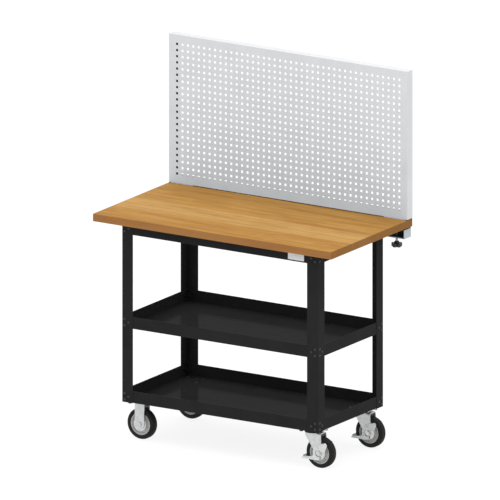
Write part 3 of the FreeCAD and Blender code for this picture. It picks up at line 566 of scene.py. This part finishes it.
def make_gap_shade_strip(material):
    """A black strip between the panel's foot and the worktop, painted shade for the gap there, in
    the three spans that the clamp brackets leave free."""
    panel = np.array(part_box("pegboard_frame"))
    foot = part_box("worktop")[1][2]
    left = np.array(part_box("clamp_bracket_left"))[:, 0]
    right = np.array(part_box("clamp_bracket_right"))[:, 0]
    front = panel[0, 1] + SHADE_STRIP_FRONT
    back = panel[1, 1] - SHADE_STRIP_BACK
    points = np.empty((0, 3))
    faces = []
    for start, end in ((panel[0, 0], left[0]), (left[1], right[0]), (right[1], panel[1, 0])):
        strip, around = rounded_plate(end - start - 2 * SHADE_STRIP_GAP, back - front,
                                      panel[0, 2] - foot, SHADE_STRIP_CORNER, SHADE_STRIP_EDGE)
        faces += [[i + len(points) for i in face] for face in around]
        points = np.vstack([points, strip + [(start + end) / 2, (front + back) / 2, foot]])
    make_piece("panel_gap_shade_strip", (points, faces), material, "root", "rubber")


# ------------------------------------------------------------------ stage, lights and camera
WHITE = (1, 1, 1, 1)
WORLD_LIGHT = 0.89
FLOOR_SIZE = 40.0
# the floor as the camera and reflections see it: a glow, and the grey that takes the shadow
FLOOR_GLOW = 0.86
FLOOR_SEEN = (0.22, 0.22, 0.22, 1)
# the floor as it throws light back on the table
FLOOR_LIT = (0.8, 0.8, 0.8, 1)
KEY_PLACE = (0.6, -1.2, 5.6)
KEY_AIM = (0, 0, 0.8)
KEY_SIZE = 4.0
KEY_LIGHT = 85
CAMERA_AZIMUTH = 32.0
CAMERA_ELEVATION = 15.0
CAMERA_WIDTH = 1.956
CAMERA_DISTANCE = 8.0
CAMERA_REACH = 60.0
PICTURE_CENTRE = (-0.0087, -0.0070, 0.778)


def seen_white(tree):
    """One where a ray comes from the camera, a glossy surface or a clear one, else nought."""
    path = add(tree, "ShaderNodeLightPath", {}).node.outputs
    seen = add(tree, "ShaderNodeMath", {0: path["Is Camera Ray"], 1: path["Is Glossy Ray"]},
               operation="MAXIMUM")
    return add(tree, "ShaderNodeMath", {0: seen, 1: path["Is Transmission Ray"]},
               operation="MAXIMUM")


def make_floor():
    """A pale floor that reads white to the camera and to reflections, and keeps the shadow."""
    half = FLOOR_SIZE / 2
    corners = np.array([(-1, -1, 0), (1, -1, 0), (1, 1, 0), (-1, 1, 0)]) * half
    mesh = bpy.data.meshes.new("floor")
    mesh.from_pydata(corners.tolist(), [], [(0, 1, 2, 3)])
    floor = bpy.data.objects.new("floor", mesh)
    bpy.context.scene.collection.objects.link(floor)
    material, tree = blank("pale_floor")
    glow = add(tree, "ShaderNodeEmission", {"Color": WHITE, "Strength": FLOOR_GLOW})
    matt = add(tree, "ShaderNodeBsdfDiffuse", {"Color": FLOOR_SEEN})
    both = add(tree, "ShaderNodeAddShader", {0: glow, 1: matt})
    plain = add(tree, "ShaderNodeBsdfDiffuse", {"Color": FLOOR_LIT})
    mixed = add(tree, "ShaderNodeMixShader", {"Fac": seen_white(tree), 1: plain, 2: both})
    add(tree, "ShaderNodeOutputMaterial", {"Surface": mixed})
    mesh.materials.append(material)


def make_world():
    """Even light from all round, behind which the camera and reflections see plain white."""
    world = bpy.data.worlds.new("studio")
    bpy.context.scene.world = world
    world.use_nodes = True
    tree = world.node_tree
    tree.nodes.clear()
    strength = add(tree, "ShaderNodeMapRange", {
        "Value": seen_white(tree), "To Min": WORLD_LIGHT, "To Max": 1.0})
    back = add(tree, "ShaderNodeBackground", {"Color": WHITE, "Strength": strength})
    add(tree, "ShaderNodeOutputWorld", {"Surface": back})


def add_lamp(name, place, aim, size, power):
    """A square soft box at a place, turned to face the point it is aimed at."""
    data = bpy.data.lights.new(name, "AREA")
    data.size = size
    data.energy = power
    lamp = bpy.data.objects.new(name, data)
    bpy.context.scene.collection.objects.link(lamp)
    place = np.array(place, float)
    ray = place - np.array(aim, float)
    lamp.location = place
    lamp.rotation_euler = (math.atan2(math.hypot(ray[0], ray[1]), ray[2]), 0,
                           math.atan2(ray[0], -ray[1]))


def make_camera():
    """A camera without perspective that looks at the picture's centre from its azimuth, which
    is measured from the front, and its elevation."""
    data = bpy.data.cameras.new("camera")
    data.type = "ORTHO"
    data.ortho_scale = CAMERA_WIDTH
    data.clip_end = CAMERA_REACH
    camera = bpy.data.objects.new("camera", data)
    bpy.context.scene.collection.objects.link(camera)
    azimuth = math.radians(CAMERA_AZIMUTH)
    elevation = math.radians(CAMERA_ELEVATION)
    back = np.array([math.sin(azimuth) * math.cos(elevation),
                     -math.cos(azimuth) * math.cos(elevation), math.sin(elevation)])
    camera.location = np.array(PICTURE_CENTRE) + back * CAMERA_DISTANCE
    camera.rotation_euler = (math.pi / 2 - elevation, 0, azimuth)
    bpy.context.scene.camera = camera


# ------------------------------------------------------------------ build
def main():
    materials = table_materials()
    paint(materials)
    make_fasteners(materials["black_fasteners"])
    make_label(materials["white_enamel"])
    make_clamp_screws(materials["machined_steel"])
    make_seals(materials["seal_rubber_and_gap_shade"])
    # painted shade: a black strip fills the gap under the panel
    make_gap_shade_strip(materials["seal_rubber_and_gap_shade"])
    make_floor()
    make_world()
    add_lamp("key", KEY_PLACE, KEY_AIM, KEY_SIZE, KEY_LIGHT)
    make_camera()


main()
view = bpy.context.scene.view_settings
view.view_transform = "Standard"
